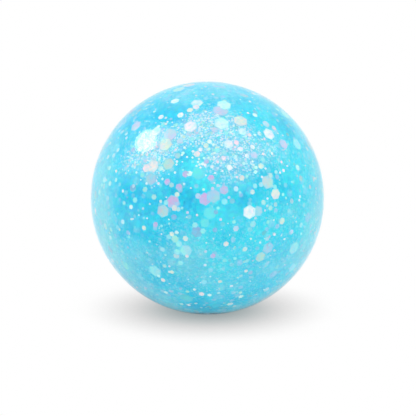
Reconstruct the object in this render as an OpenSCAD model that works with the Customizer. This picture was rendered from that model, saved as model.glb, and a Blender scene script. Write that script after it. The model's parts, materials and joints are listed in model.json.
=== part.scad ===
// Light-up squeeze ball: a clear rubber skin full of blue gel and hexagonal glitter,
// with a sealed capsule of cells, lights and a shock switch in the middle.
// The origin is the centre of the flat foot, the floor is z = 0 and the front faces -Y.

/* [Ball] */
// Outside diameter of the ball
ball_d = 63; // [58:0.5:80]
// Thickness of the rubber skin
skin_wall = 2; // [1.6:0.1:3]
// How far the resting ball is flattened into its foot
foot_depth = 0.7; // [0.4:0.05:1]

/* [Filling port] */
// Diameter of the plug's stem
plug_stem_d = 6.3; // [4:0.1:7.5]
// Diameter of the plug's outer head
plug_head_d = 8.4; // [8:0.1:10]
// Thickness of the plug's outer head
plug_head_t = 0.7; // [0.4:0.05:0.9]
// Depth of the plug's face below the foot
plug_recess = 0.2; // [0.1:0.05:0.3]
// Diameter of the plug's inner barb
plug_barb_d = 9.2; // [8:0.1:11]
// Height of the straight rim of the barb
plug_barb_rim = 0.6; // [0.3:0.1:1]
// Height of the tapered nose of the barb
plug_nose_h = 1.8; // [1:0.1:3]
// Diameter of the thick boss round the port
boss_d = 13; // [11:0.5:16]
// Height of the boss above the inside of the skin
boss_h = 2.5; // [1.5:0.1:4]

/* [Glitter] */
// Width of a large flake across its flats
large_flake_w = 3.2; // [2.4:0.1:4]
// Width of a medium flake across its flats
medium_flake_w = 1.6; // [1.2:0.1:2]
// Width of a small flake across its flats
small_flake_w = 0.8; // [0.6:0.1:1]
// Thickness of a flake
flake_t = 0.1; // [0.06:0.01:0.2]
// Number of large flakes
large_flakes_n = 44; // [20:1:60]
// Number of medium flakes
medium_flakes_n = 84; // [30:1:100]
// Number of small flakes
small_flakes_n = 96; // [30:1:120]
// Depth of gel that each size of flake is spread over
flake_layer = 1.2; // [0.6:0.1:1.6]
// Greatest tilt of a flake from the skin
flake_tilt = 18; // [0:1:25]

/* [Light capsule] */
// Wall of the capsule
capsule_wall = 1.4; // [1.2:0.1:2]
// Room between the cell stack and the inside of the capsule
capsule_room = 0.4; // [0.2:0.1:1]
// Thickness of the seal between the halves
seal_t = 0.5; // [0.3:0.1:1]
// Height of the lap joint above the seam
lap_h = 1.5; // [1.2:0.1:2]
// Thickness of the circuit board
board_t = 1; // [0.8:0.1:1.2]
// Distance from the board's edge to the capsule's inner wall
board_margin = 0.7; // [0.5:0.1:1]
// Width of the ledges that hold the board
ledge_w = 1; // [0.6:0.1:1.4]
// Thickness of the ledges that hold the board
ledge_t = 1.5; // [1:0.1:2]

/* [Cells] */
// Diameter of a button cell
cell_d = 7.9; // [6.8:0.1:9.5]
// Thickness of a button cell
cell_h = 3.6; // [2:0.1:3.8]
// Diameter of a cell's negative cap
cell_cap_d = 6.2; // [5:0.1:6.6]
// Height of the cap's step
cell_cap_h = 0.3; // [0.2:0.05:0.5]
// Thickness of the shrink sleeve
sleeve_t = 0.2; // [0.15:0.05:0.4]
// Wall of the well that holds the cells
well_wall = 0.8; // [0.6:0.1:1.2]
// Thickness of the metal contacts
contact_t = 0.25; // [0.15:0.05:0.4]
// Diameter of the contact discs
contact_d = 5.6; // [4:0.1:6]
// Width of the negative contact's strip
strip_w = 2; // [1.5:0.1:2.5]

/* [Lights] */
// Diameter of a light
led_d = 3; // [2.5:0.1:4]
// Height of a light
led_h = 5.3; // [4:0.1:6]
// Width of the flange round a light's foot
led_flange = 0.4; // [0.2:0.1:0.6]
// Height of that flange
led_flange_h = 1; // [0.6:0.1:1.4]
// Distance of the lights from the middle of the board
led_ring_r = 7; // [6.4:0.1:7.6]
// Diameter of a light's lead
lead_d = 0.5; // [0.4:0.05:0.6]
// Distance between a light's two leads
lead_pitch = 2.54; // [2:0.01:2.6]
// Length of the leads below the board
lead_tail = 0.8; // [0.4:0.1:1.2]
// Length of a chip resistor
resistor_l = 2; // [1.2:0.1:2.4]
// Width of a chip resistor
resistor_w = 1.25; // [0.8:0.05:1.4]
// Thickness of a chip resistor
resistor_t = 0.5; // [0.4:0.05:0.7]
// Width of the controller's drop of epoxy
blob_d = 4.4; // [3:0.1:5]
// Height of the controller's drop of epoxy
blob_h = 1.2; // [0.8:0.1:1.6]

/* [Shock switch] */
// Outside diameter of the spring
spring_d = 4; // [3.4:0.1:4.4]
// Diameter of the spring's wire
wire_d = 0.35; // [0.25:0.05:0.4]
// Height of one curl of the spring
curl_pitch = 0.85; // [0.82:0.01:1]
// Number of curls
curls = 7; // [4:1:8]
// Height of the spring's straight foot
spring_foot_h = 0.9; // [0.8:0.1:1.2]
// Diameter of the contact post
post_d = 0.8; // [0.6:0.1:1]
// Height of the contact post above the board
post_h = 5.2; // [4:0.1:6]

/* [Fits] */
// Clearance of rigid fits
fit_gap = 0.05; // [0.03:0.01:0.1]
// Clearance round soft pieces that stay together
soft_gap = 0.1; // [0.05:0.05:0.15]
// Clearance between the gel and the capsule that moves in it
capsule_gap = 0.3; // [0.2:0.05:0.5]

/* [Hidden] */
$fn = 96;

// The ball
ball_r = ball_d / 2;
ball_z = ball_r - foot_depth;
cavity_r = ball_r - skin_wall;
gel_r = cavity_r - soft_gap;

// The filling port, from the foot upwards
foot_wall = skin_wall - foot_depth;
boss_top = foot_wall + boss_h;
plug_shoulder = plug_recess + plug_head_t;
plug_barb_z = boss_top + fit_gap;
plug_tip_z = plug_barb_z + plug_barb_rim + plug_nose_h;

// The cell stack hangs below the board, whose underside is the capsule's seam plane
stack_top = -contact_t;
stack_bottom = stack_top - 3 * cell_h;
seat_z = stack_bottom - contact_t;
sleeve_r = cell_d / 2 + fit_gap;
strip_r = sleeve_r + sleeve_t + fit_gap;
strip_out_r = strip_r + contact_t;
well_r = strip_r;
well_out_r = well_r + well_wall;
well_top = stack_top - contact_t;

// The capsule is the smallest ball that takes the stack and its strip
capsule_in_r = norm([strip_out_r, seat_z]) + capsule_room;
capsule_r = capsule_in_r + capsule_wall;
board_r = capsule_in_r - board_margin;
pocket_r = board_r + fit_gap;
lap_r = capsule_in_r + capsule_wall / 2 - fit_gap;
ledge_r = board_r - ledge_w;

// The spring's wire runs up from the board and bends into the curls
coil_r = (spring_d - wire_d) / 2;
bend_r = wire_d;
bend_steps = 3;
curl_rings = 8;
wire_sides = 6;
foot_rise = spring_foot_h - bend_r;
bend_turn = bend_r / coil_r * 180 / PI;

// Three lights share the board with the resistors beside them and the controller between two of them
led_angles = [90, 210, 330];
led_out_r = led_d / 2 + led_flange;
dome_bulge = 1.16;
dome_r = led_d / 2 * dome_bulge;
part_gap = 0.4;
resistor_turn = asin((led_out_r + resistor_w / 2 + part_gap) / led_ring_r);
blob_angle = led_angles[0] + 60;

// Flakes keep clear of the port and lie in three layers, the largest outside
golden_turn = 180 * (3 - sqrt(5));
large_top_r = gel_r - large_flake_w / 2;
medium_top_r = large_top_r - flake_layer - large_flake_w / 2;
small_top_r = medium_top_r - flake_layer - medium_flake_w;
keep_out = asin((boss_d / 2 + large_flake_w) / (small_top_r - flake_layer));
flake_span = 1 + cos(keep_out);

// A share from 0 to 1 that looks random but is the same every time
function share(i, step) = i * step - floor(i * step);

// One point of the spring's wire: its turn round the axis in degrees and its height
function wire_point(turn, z) = [coil_r * cos(turn), coil_r * sin(turn), z];

function wire_turns() = concat(
    [0, 0],
    [for (i = [1:bend_steps]) bend_turn * (1 - cos(90 * i / bend_steps))],
    [for (i = [1:curls * curl_rings]) bend_turn + 360 * i / curl_rings]
);

function wire_heights() = concat(
    [fit_gap, foot_rise],
    [for (i = [1:bend_steps]) foot_rise + bend_r * sin(90 * i / bend_steps)],
    [for (i = [1:curls * curl_rings]) spring_foot_h + curl_pitch * i / curl_rings]
);

wire_turn = wire_turns();
wire_z = wire_heights();
wire_path = [for (i = [0:len(wire_turn) - 1]) wire_point(wire_turn[i], wire_z[i])];
wire_last = len(wire_path) - 1;

// Direction of the wire at point i, from its neighbours
function wire_way(i) =
    let (step = wire_path[min(i + 1, wire_last)] - wire_path[max(i - 1, 0)])
    step / norm(step);

// Ring of points round the wire at point i
function wire_ring(i) =
    let (out = [cos(wire_turn[i]), sin(wire_turn[i]), 0])
    let (side = cross(wire_way(i), out))
    [for (k = [0:wire_sides - 1])
        let (a = 360 * k / wire_sides)
        wire_path[i] + wire_d / 2 * (cos(a) * out + sin(a) * side / norm(side))];

// Least gap of the spring to itself, between points that are more than half a curl apart
far_rings = curl_rings / 2 + bend_steps;
curl_gap = min([
    for (i = [0:wire_last - far_rings])
        for (j = [i + far_rings:wire_last])
            norm(wire_path[i] - wire_path[j])
]) - wire_d;
echo(least_spring_gap = curl_gap);

module at_capsule() {
    translate([0, 0, ball_z])
        children();
}

// Solid ring between two radii and two heights
module ring(inner, outer, low, high) {
    translate([0, 0, low])
        difference() {
            cylinder(r = outer, h = high - low);
            translate([0, 0, -1])
                cylinder(r = inner, h = high - low + 2);
        }
}

// Bore along Z between two heights
module bore(r, low, high) {
    translate([0, 0, low])
        cylinder(r = r, h = high - low);
}

// Places a child at a light's seat on the board
module at_led(angle) {
    rotate([0, 0, angle])
        translate([led_ring_r, 0, board_t])
            children();
}

// Thin hexagon about its middle, measured across its flats
module hexagon(width, thickness) {
    cylinder(d = width / cos(30), h = thickness, center = true, $fn = 6);
}

// Hexagonal flakes on a spiral over the ball, lying nearly along the skin
module flakes(count, width, top_r, phase, grow) {
    at_capsule()
        for (i = [0:count - 1]) {
            polar = acos(1 - flake_span * (i + 0.5) / count);
            depth = flake_layer * share(i + phase, 0.618);
            tilt_a = flake_tilt * (2 * share(i + phase, 0.414) - 1);
            tilt_b = flake_tilt * (2 * share(i + phase, 0.732) - 1);
            rotate([0, polar, golden_turn * (i + phase)])
                translate([0, 0, top_r - depth])
                    rotate([tilt_a, tilt_b, 360 * share(i, 0.236)])
                        hexagon(width + 2 * grow, flake_t + 2 * grow);
        }
}

module large_flake_set(grow) {
    flakes(large_flakes_n, large_flake_w, large_top_r, 0, grow);
}

module medium_flake_set(grow) {
    flakes(medium_flakes_n, medium_flake_w, medium_top_r, 5, grow);
}

module small_flake_set(grow) {
    flakes(small_flakes_n, small_flake_w, small_top_r, 9, grow);
}

// Clear rubber skin with a flat foot and a thick boss round the filling port
module outer_skin() {
    color([0.80, 0.94, 0.98, 0.35])
        difference() {
            union() {
                at_capsule()
                    difference() {
                        sphere(r = ball_r);
                        sphere(r = cavity_r);
                    }
                bore(boss_d / 2, foot_wall / 2, boss_top);
            }
            bore(ball_r, -foot_depth - 1, 0);
            bore(plug_head_d / 2 + fit_gap, -1, plug_shoulder + fit_gap);
            bore(plug_stem_d / 2 + fit_gap, 0, boss_top + 1);
        }
}

// Barbed rubber plug, with its head sunk below the foot
module filler_plug() {
    color([0.72, 0.90, 0.96])
        union() {
            bore(plug_head_d / 2, plug_recess, plug_shoulder);
            bore(plug_stem_d / 2, plug_recess, plug_barb_z + plug_barb_rim);
            bore(plug_barb_d / 2, plug_barb_z, plug_barb_z + plug_barb_rim);
            translate([0, 0, plug_barb_z + plug_barb_rim])
                cylinder(d1 = plug_barb_d, d2 = plug_stem_d / 2, h = plug_nose_h);
        }
}

// Blue gel, hollow for the capsule, the port's boss, the plug and each flake
module gel_fill() {
    color([0.25, 0.80, 0.93, 0.6])
        difference() {
            at_capsule()
                sphere(r = gel_r);
            at_capsule()
                sphere(r = capsule_r + capsule_gap);
            bore(boss_d / 2 + soft_gap, 0, boss_top + soft_gap);
            bore(plug_barb_d / 2 + soft_gap, 0, plug_tip_z + soft_gap);
            large_flake_set(soft_gap);
            medium_flake_set(soft_gap);
            small_flake_set(soft_gap);
        }
}

module large_flakes() {
    color([0.93, 0.95, 0.88])
        large_flake_set(0);
}

module medium_flakes() {
    color([0.86, 0.80, 0.95])
        medium_flake_set(0);
}

module small_flakes() {
    color([0.72, 0.96, 0.93])
        small_flake_set(0);
}

// Upper half of the capsule: it laps outside the lower half and holds the board down
module capsule_top() {
    hold_t = lap_h + fit_gap + ledge_t;
    color([0.90, 0.95, 0.97, 0.5])
        at_capsule()
            union() {
                difference() {
                    sphere(r = capsule_r);
                    sphere(r = capsule_in_r);
                    bore(capsule_r + 1, -capsule_r - 1, seal_t / 2);
                    bore(lap_r + fit_gap, -1, lap_h + fit_gap);
                }
                ring(ledge_r, board_r - fit_gap, board_t, hold_t);
                ring(ledge_r, lap_r, lap_h + fit_gap, hold_t);
            }
}

// Lower half of the capsule, with the board's ledge, the lap rim and the well for the cells
module capsule_base() {
    color([0.88, 0.94, 0.97, 0.5])
        at_capsule()
            difference() {
                union() {
                    difference() {
                        sphere(r = capsule_r);
                        sphere(r = capsule_in_r);
                        bore(capsule_r + 1, -seal_t / 2, capsule_r + 1);
                    }
                    ring(ledge_r, lap_r, -ledge_t, 0);
                    ring(pocket_r, lap_r, -ledge_t, lap_h);
                    ring(well_r, well_out_r, -capsule_in_r, well_top);
                    bore(contact_d / 2, -capsule_in_r - capsule_wall / 2, seat_z);
                }
                translate([0, -strip_w / 2 - fit_gap, seat_z])
                    cube([well_out_r + fit_gap, strip_w + 2 * fit_gap, well_top - seat_z + 1]);
            }
}

// Seal between the two halves, outside the lap rim
module capsule_seal() {
    color([0.25, 0.27, 0.30])
        at_capsule()
            ring(lap_r + fit_gap, capsule_r - 2 * fit_gap, -seal_t / 2, seal_t / 2);
}

// Round board, drilled for the post and for the lights' leads
module circuit_board() {
    color([0.10, 0.42, 0.24])
        at_capsule()
            difference() {
                bore(board_r, 0, board_t);
                bore(post_d / 2 + fit_gap, -1, board_t + 1);
                for (angle = led_angles)
                    led_lead_pair(angle, lead_d + 2 * fit_gap, -board_t - 1, 1);
            }
}

// The two leads of one light, or their holes, from low to high about the board's top
module led_lead_pair(angle, d, low, high) {
    at_led(angle)
        for (side = [-1, 1])
            translate([0, side * lead_pitch / 2, low])
                cylinder(d = d, h = high - low);
}

// One light: a flanged foot, a straight body and a domed end
module light(angle) {
    at_capsule()
        at_led(angle)
            union() {
                bore(led_out_r, 0, led_flange_h);
                intersection() {
                    bore(led_d / 2, 0, led_h);
                    union() {
                        bore(led_d, 0, led_h - dome_r);
                        translate([0, 0, led_h - dome_r])
                            sphere(r = dome_r);
                    }
                }
            }
}

module red_led() {
    color([0.90, 0.25, 0.22])
        light(led_angles[0]);
}

module green_led() {
    color([0.25, 0.80, 0.35])
        light(led_angles[1]);
}

module blue_led() {
    color([0.22, 0.38, 0.92])
        light(led_angles[2]);
}

// Leads of all the lights, from under their feet to just below the board
module led_leads() {
    color([0.78, 0.78, 0.76])
        at_capsule()
            for (angle = led_angles)
                led_lead_pair(angle, lead_d, -board_t - lead_tail, 0);
}

// One chip resistor beside each light
module chip_resistors() {
    color([0.12, 0.12, 0.13])
        at_capsule()
            for (angle = led_angles)
                at_led(angle + resistor_turn)
                    translate([-resistor_l / 2, -resistor_w / 2, 0])
                        cube([resistor_l, resistor_w, resistor_t]);
}

// Flasher chip under a drop of epoxy, which is a cap of a ball
module controller_blob() {
    drop_r = (pow(blob_d / 2, 2) + pow(blob_h, 2)) / (2 * blob_h);
    color([0.06, 0.06, 0.07])
        at_capsule()
            at_led(blob_angle)
                intersection() {
                    translate([0, 0, blob_h - drop_r])
                        sphere(r = drop_r);
                    bore(blob_d, 0, blob_h + 1);
                }
}

// One button cell, negative cap down, counted from the top of the stack
module button_cell(place) {
    low = stack_top - (place + 1) * cell_h;
    color([0.80, 0.80, 0.82])
        at_capsule()
            union() {
                bore(cell_cap_d / 2, low, low + cell_h);
                bore(cell_d / 2, low + cell_cap_h, low + cell_h);
            }
}

module upper_cell() {
    button_cell(0);
}

module middle_cell() {
    button_cell(1);
}

module lower_cell() {
    button_cell(2);
}

// Shrink sleeve that keeps the cells in a stack
module cell_sleeve() {
    color([0.15, 0.30, 0.62])
        at_capsule()
            ring(sleeve_r, sleeve_r + sleeve_t, stack_bottom + cell_cap_h, stack_top);
}

// Disc between the stack and the board
module positive_contact() {
    color([0.86, 0.72, 0.36])
        at_capsule()
            bore(contact_d / 2, stack_top, 0);
}

// Disc under the stack, with a strip that rises beside the cells to the board
module negative_contact() {
    color([0.80, 0.80, 0.78])
        at_capsule()
            union() {
                bore(contact_d / 2, seat_z, stack_bottom);
                translate([0, -strip_w / 2, seat_z])
                    cube([strip_out_r, strip_w, contact_t]);
                translate([strip_r, -strip_w / 2, seat_z])
                    cube([contact_t, strip_w, -seat_z]);
            }
}

// Fixed pin of the shock switch
module contact_post() {
    color([0.86, 0.72, 0.36])
        at_capsule()
            bore(post_d / 2, 0, board_t + post_h);
}

// Coil round the post: one unbroken wire from its foot on the board to its free end
module shock_spring() {
    rings = len(wire_path);
    color([0.84, 0.74, 0.45])
        at_capsule()
            translate([0, 0, board_t])
                polyhedron(
                    points = [for (i = [0:wire_last]) each wire_ring(i)],
                    faces = concat(
                        [for (k = [1:wire_sides - 2]) [0, k, k + 1]],
                        [for (i = [0:wire_last - 1])
                            for (k = [0:wire_sides - 1])
                                let (a = i * wire_sides + k, b = i * wire_sides + (k + 1) % wire_sides)
                                each [[a, a + wire_sides, b], [b, a + wire_sides, b + wire_sides]]],
                        [for (k = [1:wire_sides - 2])
                            let (end = wire_last * wire_sides)
                            [end, end + k + 1, end + k]]
                    )
                );
}

outer_skin();
filler_plug();
gel_fill();
large_flakes();
medium_flakes();
small_flakes();
capsule_top();
capsule_base();
capsule_seal();
circuit_board();
red_led();
green_led();
blue_led();
led_leads();
chip_resistors();
controller_blob();
upper_cell();
middle_cell();
lower_cell();
cell_sleeve();
positive_contact();
negative_contact();
contact_post();
shock_spring();
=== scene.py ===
# %% [markdown]
# # Light-up squeeze ball
# A clear rubber skin full of blue gel, with hexagonal glitter hanging in it and a small light capsule in the middle.
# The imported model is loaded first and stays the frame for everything. The rigid pieces inside get better finishes
# where they are. The soft ones, which are the skin, the gel and the glitter, get fuller surfaces of their own.

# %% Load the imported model
import json

import bpy
import numpy as np
from mathutils import Euler, Matrix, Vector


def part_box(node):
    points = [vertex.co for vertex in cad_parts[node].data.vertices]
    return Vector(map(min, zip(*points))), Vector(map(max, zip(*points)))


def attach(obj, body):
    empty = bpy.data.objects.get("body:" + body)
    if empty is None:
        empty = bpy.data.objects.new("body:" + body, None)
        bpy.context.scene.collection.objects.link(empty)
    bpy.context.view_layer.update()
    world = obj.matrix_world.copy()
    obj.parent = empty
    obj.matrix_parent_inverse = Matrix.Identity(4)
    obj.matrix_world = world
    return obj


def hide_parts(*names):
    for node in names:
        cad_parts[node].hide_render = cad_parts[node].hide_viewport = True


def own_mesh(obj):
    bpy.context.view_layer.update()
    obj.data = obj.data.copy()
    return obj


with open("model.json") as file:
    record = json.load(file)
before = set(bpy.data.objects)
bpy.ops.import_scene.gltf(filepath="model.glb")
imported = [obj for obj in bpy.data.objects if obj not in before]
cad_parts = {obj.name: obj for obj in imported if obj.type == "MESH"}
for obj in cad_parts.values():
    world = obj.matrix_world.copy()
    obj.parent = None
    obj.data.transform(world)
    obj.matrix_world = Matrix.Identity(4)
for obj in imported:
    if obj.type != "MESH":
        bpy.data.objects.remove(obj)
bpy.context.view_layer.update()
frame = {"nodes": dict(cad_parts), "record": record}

# %% [markdown]
# The ball is round about its upright axis, so its radius and the height of its middle place every piece. Both are
# read from the frame, so the looks follow if the construction changes.

# %% Sizes of the ball
MM = 0.001
skin_low, skin_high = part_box("outer_skin")
gel_low, gel_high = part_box("gel_fill")
BALL_R = (skin_high.x - skin_low.x) / 2
CENTRE = np.array([0.0, 0.0, skin_high.z - BALL_R])
GEL_R = (gel_high.x - gel_low.x) / 2
print(f"ball radius {BALL_R / MM:.2f} mm, middle at {CENTRE[2] / MM:.2f} mm, gel radius {GEL_R / MM:.2f} mm")

# %% [markdown]
# The camera stands a little above the ball and looks down on it, far enough away that the ball is drawn almost
# without perspective. Its lens is worked out from how many pixels the ball covers, and it is turned, not moved, to
# put the ball where the picture has it.

# %% Camera
IMAGE_PX = 416
BALL_AT_PX = (207.4, 198.1)
BALL_RADIUS_PX = 116.7
CAMERA_AWAY = 0.60
CAMERA_RISE = np.radians(12)
SENSOR_MM = 36.0

focal_px = BALL_RADIUS_PX / np.tan(np.arcsin(BALL_R / CAMERA_AWAY))
eye = CENTRE + CAMERA_AWAY * np.array([0, -np.cos(CAMERA_RISE), np.sin(CAMERA_RISE)])
pan = np.arctan((IMAGE_PX / 2 - BALL_AT_PX[0]) / focal_px)
dip = np.arctan((IMAGE_PX / 2 - BALL_AT_PX[1]) / focal_px)
camera_turn = Euler((np.pi / 2 - CAMERA_RISE - dip, 0, -pan))
VIEW_AXES = np.array(camera_turn.to_matrix())

camera_data = bpy.data.cameras.new("camera")
camera_data.sensor_width = SENSOR_MM
camera_data.lens = focal_px * SENSOR_MM / IMAGE_PX
camera = bpy.data.objects.new("camera", camera_data)
camera.location = eye
camera.rotation_euler = camera_turn
bpy.context.collection.objects.link(camera)
bpy.context.scene.camera = camera
bpy.context.scene.view_settings.view_transform = "Standard"
print(f"lens {camera_data.lens:.1f} mm, focal length {focal_px:.0f} pixels")

# %% [markdown]
# Every finish below is a small graph of shader nodes. Colours are written as sRGB hex values, as a paint program
# shows them, and one function turns them to the linear light that the renderer counts in. Another adds a node with
# its settings and links. A pattern's scale is one over its real size, so each is given in millimetres.

# %% Helpers for finishes
def linear(hex_colour):
    """The sRGB curve undone on each channel: the linear part below 0.04045, and a power of 2.4 above it."""
    channels = np.array([int(hex_colour[i:i + 2], 16) for i in (1, 3, 5)]) / 255
    light = np.where(channels <= 0.04045, channels / 12.92, ((channels + 0.055) / 1.055) ** 2.4)
    return (*light.tolist(), 1.0)


def node(tree, kind, inputs=None, **settings):
    """Adds a node, sets its settings, and links or fills its inputs."""
    made = tree.nodes.new(kind)
    for name, value in settings.items():
        setattr(made, name, value)
    for name, value in (inputs or {}).items():
        if isinstance(value, bpy.types.NodeSocket):
            tree.links.new(value, made.inputs[name])
        else:
            made.inputs[name].default_value = value
    return made


def new_material(name):
    """An empty material: returns it, its node tree and the place that patterns are measured from."""
    made = bpy.data.materials.new(name)
    made.use_nodes = True
    made.node_tree.nodes.clear()
    place = node(made.node_tree, "ShaderNodeTexCoord").outputs["Object"]
    return made, made.node_tree, place


def per_mm(size_mm):
    """Texture scale of a pattern whose repeat is size_mm millimetres."""
    return 1 / (size_mm * MM)


print("orange as linear light:", [round(c, 3) for c in linear("#FF8000")])

# %% [markdown]
# The ball stands in a light tent: a white sky all round, a little brighter on the right, lights it softly from
# everywhere. What is seen of the sky, straight or mirrored, is plain white. The light that it sends is stronger, to
# make up for what the clear skin throws back before it reaches the gel. A ray that passes through clear rubber also
# counts as glossy, so a mirrored ray is one that is glossy and not transmitted.

# %% Sky
SKY_SEEN, SKY_LIGHT, SKY_LEAN = 1.0, 1.49, 0.14


def kinds_of_ray(tree):
    """The outputs of the light path, and a share that is 1 for a mirrored ray: glossy less transmitted."""
    rays = node(tree, "ShaderNodeLightPath").outputs
    mirrored = node(tree, "ShaderNodeMath", {
        0: rays["Is Glossy Ray"], 1: rays["Is Transmission Ray"],
    }, operation="SUBTRACT", use_clamp=True)
    return rays, mirrored.outputs[0]


world = bpy.data.worlds.new("white tent")
world.use_nodes = True
tree = world.node_tree
rays, mirrored = kinds_of_ray(tree)
shown = node(tree, "ShaderNodeMath", {0: rays["Is Camera Ray"], 1: mirrored}, operation="MAXIMUM")
direction = node(tree, "ShaderNodeTexCoord").outputs["Generated"]
to_right = node(tree, "ShaderNodeSeparateXYZ", {0: direction}).outputs["X"]
sky_light = node(tree, "ShaderNodeMath", {
    0: to_right, 1: SKY_LEAN * SKY_LIGHT, 2: SKY_LIGHT,
}, operation="MULTIPLY_ADD")
sky = node(tree, "ShaderNodeMapRange", {
    "Value": shown.outputs[0], "To Min": sky_light.outputs[0], "To Max": SKY_SEEN,
})
tree.links.new(sky.outputs["Result"], tree.nodes["Background"].inputs["Strength"])
tree.nodes["Background"].inputs["Color"].default_value = linear("#FFFFFF")
bpy.context.scene.world = world
print(f"the sky shows {SKY_SEEN} and sends {SKY_LIGHT}, {SKY_LEAN:.0%} more from the right")

# %% [markdown]
# The floor is matt white paper. What the eye sees of it, straight, mirrored or through clear rubber, is drawn from how
# much of the sky each spot of it can see. So it is plain white away from the ball and grey under it, a little cool
# there from the light that came through the gel. Each of the three ways of looking has its own least share of light,
# for a spot that sees no sky at all.

# %% Floor
FLOOR_HALF = 3.0
FLOOR_LIGHT = 1.45
SKY_TRIES = 16
SHADE_GAIN, LEAST_SEEN, LEAST_THROUGH, LEAST_MIRRORED = 0.95, 0.36, 0.54, 0.24
COOL_BELOW, PLAIN_ABOVE = 0.25, 0.7

floor_paper, tree = new_material("white_paper_floor")[:2]
rays, mirrored = kinds_of_ray(tree)
looked_at = node(tree, "ShaderNodeMath", {
    0: rays["Is Camera Ray"], 1: rays["Is Glossy Ray"],
}, operation="MAXIMUM")
looked_at = node(tree, "ShaderNodeMath", {
    0: looked_at.outputs[0], 1: rays["Is Transmission Ray"],
}, operation="MAXIMUM")
open_sky = node(tree, "ShaderNodeAmbientOcclusion", samples=SKY_TRIES)
least = node(tree, "ShaderNodeMath", {0: rays["Is Transmission Ray"], 1: LEAST_THROUGH}, operation="MULTIPLY")
for kind, least_of_kind in ((rays["Is Camera Ray"], LEAST_SEEN), (mirrored, LEAST_MIRRORED)):
    least = node(tree, "ShaderNodeMath", {
        0: kind, 1: least_of_kind, 2: least.outputs[0],
    }, operation="MULTIPLY_ADD")
shade = node(tree, "ShaderNodeMath", {
    0: open_sky.outputs["AO"], 1: SHADE_GAIN, 2: least.outputs[0],
}, operation="MULTIPLY_ADD")
white = node(tree, "ShaderNodeMath", {0: shade.outputs[0], 1: 1.0}, operation="MINIMUM")
paper = node(tree, "ShaderNodeBsdfDiffuse", {"Color": linear("#F9F9F9")})
floor_light = node(tree, "ShaderNodeMapRange", {
    "Value": rays["Is Transmission Ray"], "To Min": 1.0, "To Max": FLOOR_LIGHT,
})
strength = node(tree, "ShaderNodeMath", {
    0: white.outputs[0], 1: floor_light.outputs["Result"],
}, operation="MULTIPLY")
plain = node(tree, "ShaderNodeMapRange", {
    "Value": white.outputs[0], "From Min": COOL_BELOW, "From Max": PLAIN_ABOVE,
})
cool = node(tree, "ShaderNodeMix", {
    0: plain.outputs["Result"], 6: linear("#E4FCFF"), 7: linear("#FFFFFF"),
}, data_type="RGBA")
drawn = node(tree, "ShaderNodeEmission", {"Color": cool.outputs[2], "Strength": strength.outputs[0]})
both = node(tree, "ShaderNodeMixShader", {0: looked_at.outputs[0], 1: paper.outputs[0], 2: drawn.outputs[0]})
node(tree, "ShaderNodeOutputMaterial", {"Surface": both.outputs[0]})

floor_mesh = bpy.data.meshes.new("floor")
corners = np.array([[-1, -1, 0], [1, -1, 0], [1, 1, 0], [-1, 1, 0]]) * FLOOR_HALF
floor_mesh.from_pydata(corners.tolist(), [], [(0, 1, 2, 3)])
floor_mesh.materials.append(floor_paper)
floor = bpy.data.objects.new("floor", floor_mesh)
bpy.context.collection.objects.link(floor)
print("floor", 2 * FLOOR_HALF, "m wide")

# %% [markdown]
# One softbox up on the left makes the window-like gloss on the skin. A mirror ball shows a lamp where its surface
# leans halfway between the eye and the lamp, so the lamp's direction is worked out from the pixel of the gloss: the
# surface direction there is n, and the lamp lies along 2(n.v)n - v, with v the direction to the eye. A softbox is
# brighter in the middle than at its edge, so it is four ovals that lie over one another. They show only in gloss,
# because the sky already gives all the light that the colours need.

# %% Softbox
GLOSS_AT_PX = (148.2, 143)
LAMP_AWAY = 0.5
LAMP_WIDE, LAMP_HIGH = 13, 19.5
# The softbox's width and height are angles in degrees. Each oval has its share of them, and its radiance.
LAMP_RINGS = {
    "softbox_middle": (0.7, 10), "softbox": (1.0, 13), "softbox_edge": (1.35, 7.5), "softbox_spill": (2.6, 0.7),
}


def softbox(name, share, radiance):
    """An oval lamp that faces the ball, with its width square to the line of sight. Its watts are radiance x pi x
    area, and the area of an oval is pi / 4 times its width times its height."""
    lean = (np.array(GLOSS_AT_PX) - BALL_AT_PX) / BALL_RADIUS_PX * (1, -1)
    surface = np.array([*lean, np.sqrt(1 - lean @ lean)])
    towards = 2 * surface[2] * surface - (0, 0, 1)
    across = np.cross(towards, (0, 0, 1))
    axes = VIEW_AXES @ np.column_stack([across, np.cross(towards, across), towards])
    size = 2 * LAMP_AWAY * np.tan(np.radians([LAMP_WIDE, LAMP_HIGH]) * share / 2)
    data = bpy.data.lights.new(name, "AREA")
    data.shape = "ELLIPSE"
    data.size, data.size_y = size.tolist()
    data.energy = radiance * np.pi * size.prod() * np.pi / 4
    lamp = bpy.data.objects.new(name, data)
    lamp.location = CENTRE + LAMP_AWAY * axes[:, 2]
    lamp.rotation_euler = Matrix((axes / np.linalg.norm(axes, axis=0)).tolist()).to_euler()
    lamp.visible_camera = False
    lamp.visible_diffuse = False
    lamp.visible_transmission = False
    bpy.context.collection.objects.link(lamp)
    return lamp


for name, (share, radiance) in LAMP_RINGS.items():
    lamp = softbox(name, share, radiance)
    print(lamp.name, "at", [round(c, 3) for c in lamp.location], f"{lamp.data.energy:.2f} W")

# %% [markdown]
# The skin and the gel are round about Z, so each is a profile carried round the axis. The profile starts and ends on
# the axis, where all its points meet in a single vertex, so the poles are closed.

# %% Surface of revolution
AROUND = 192


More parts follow.
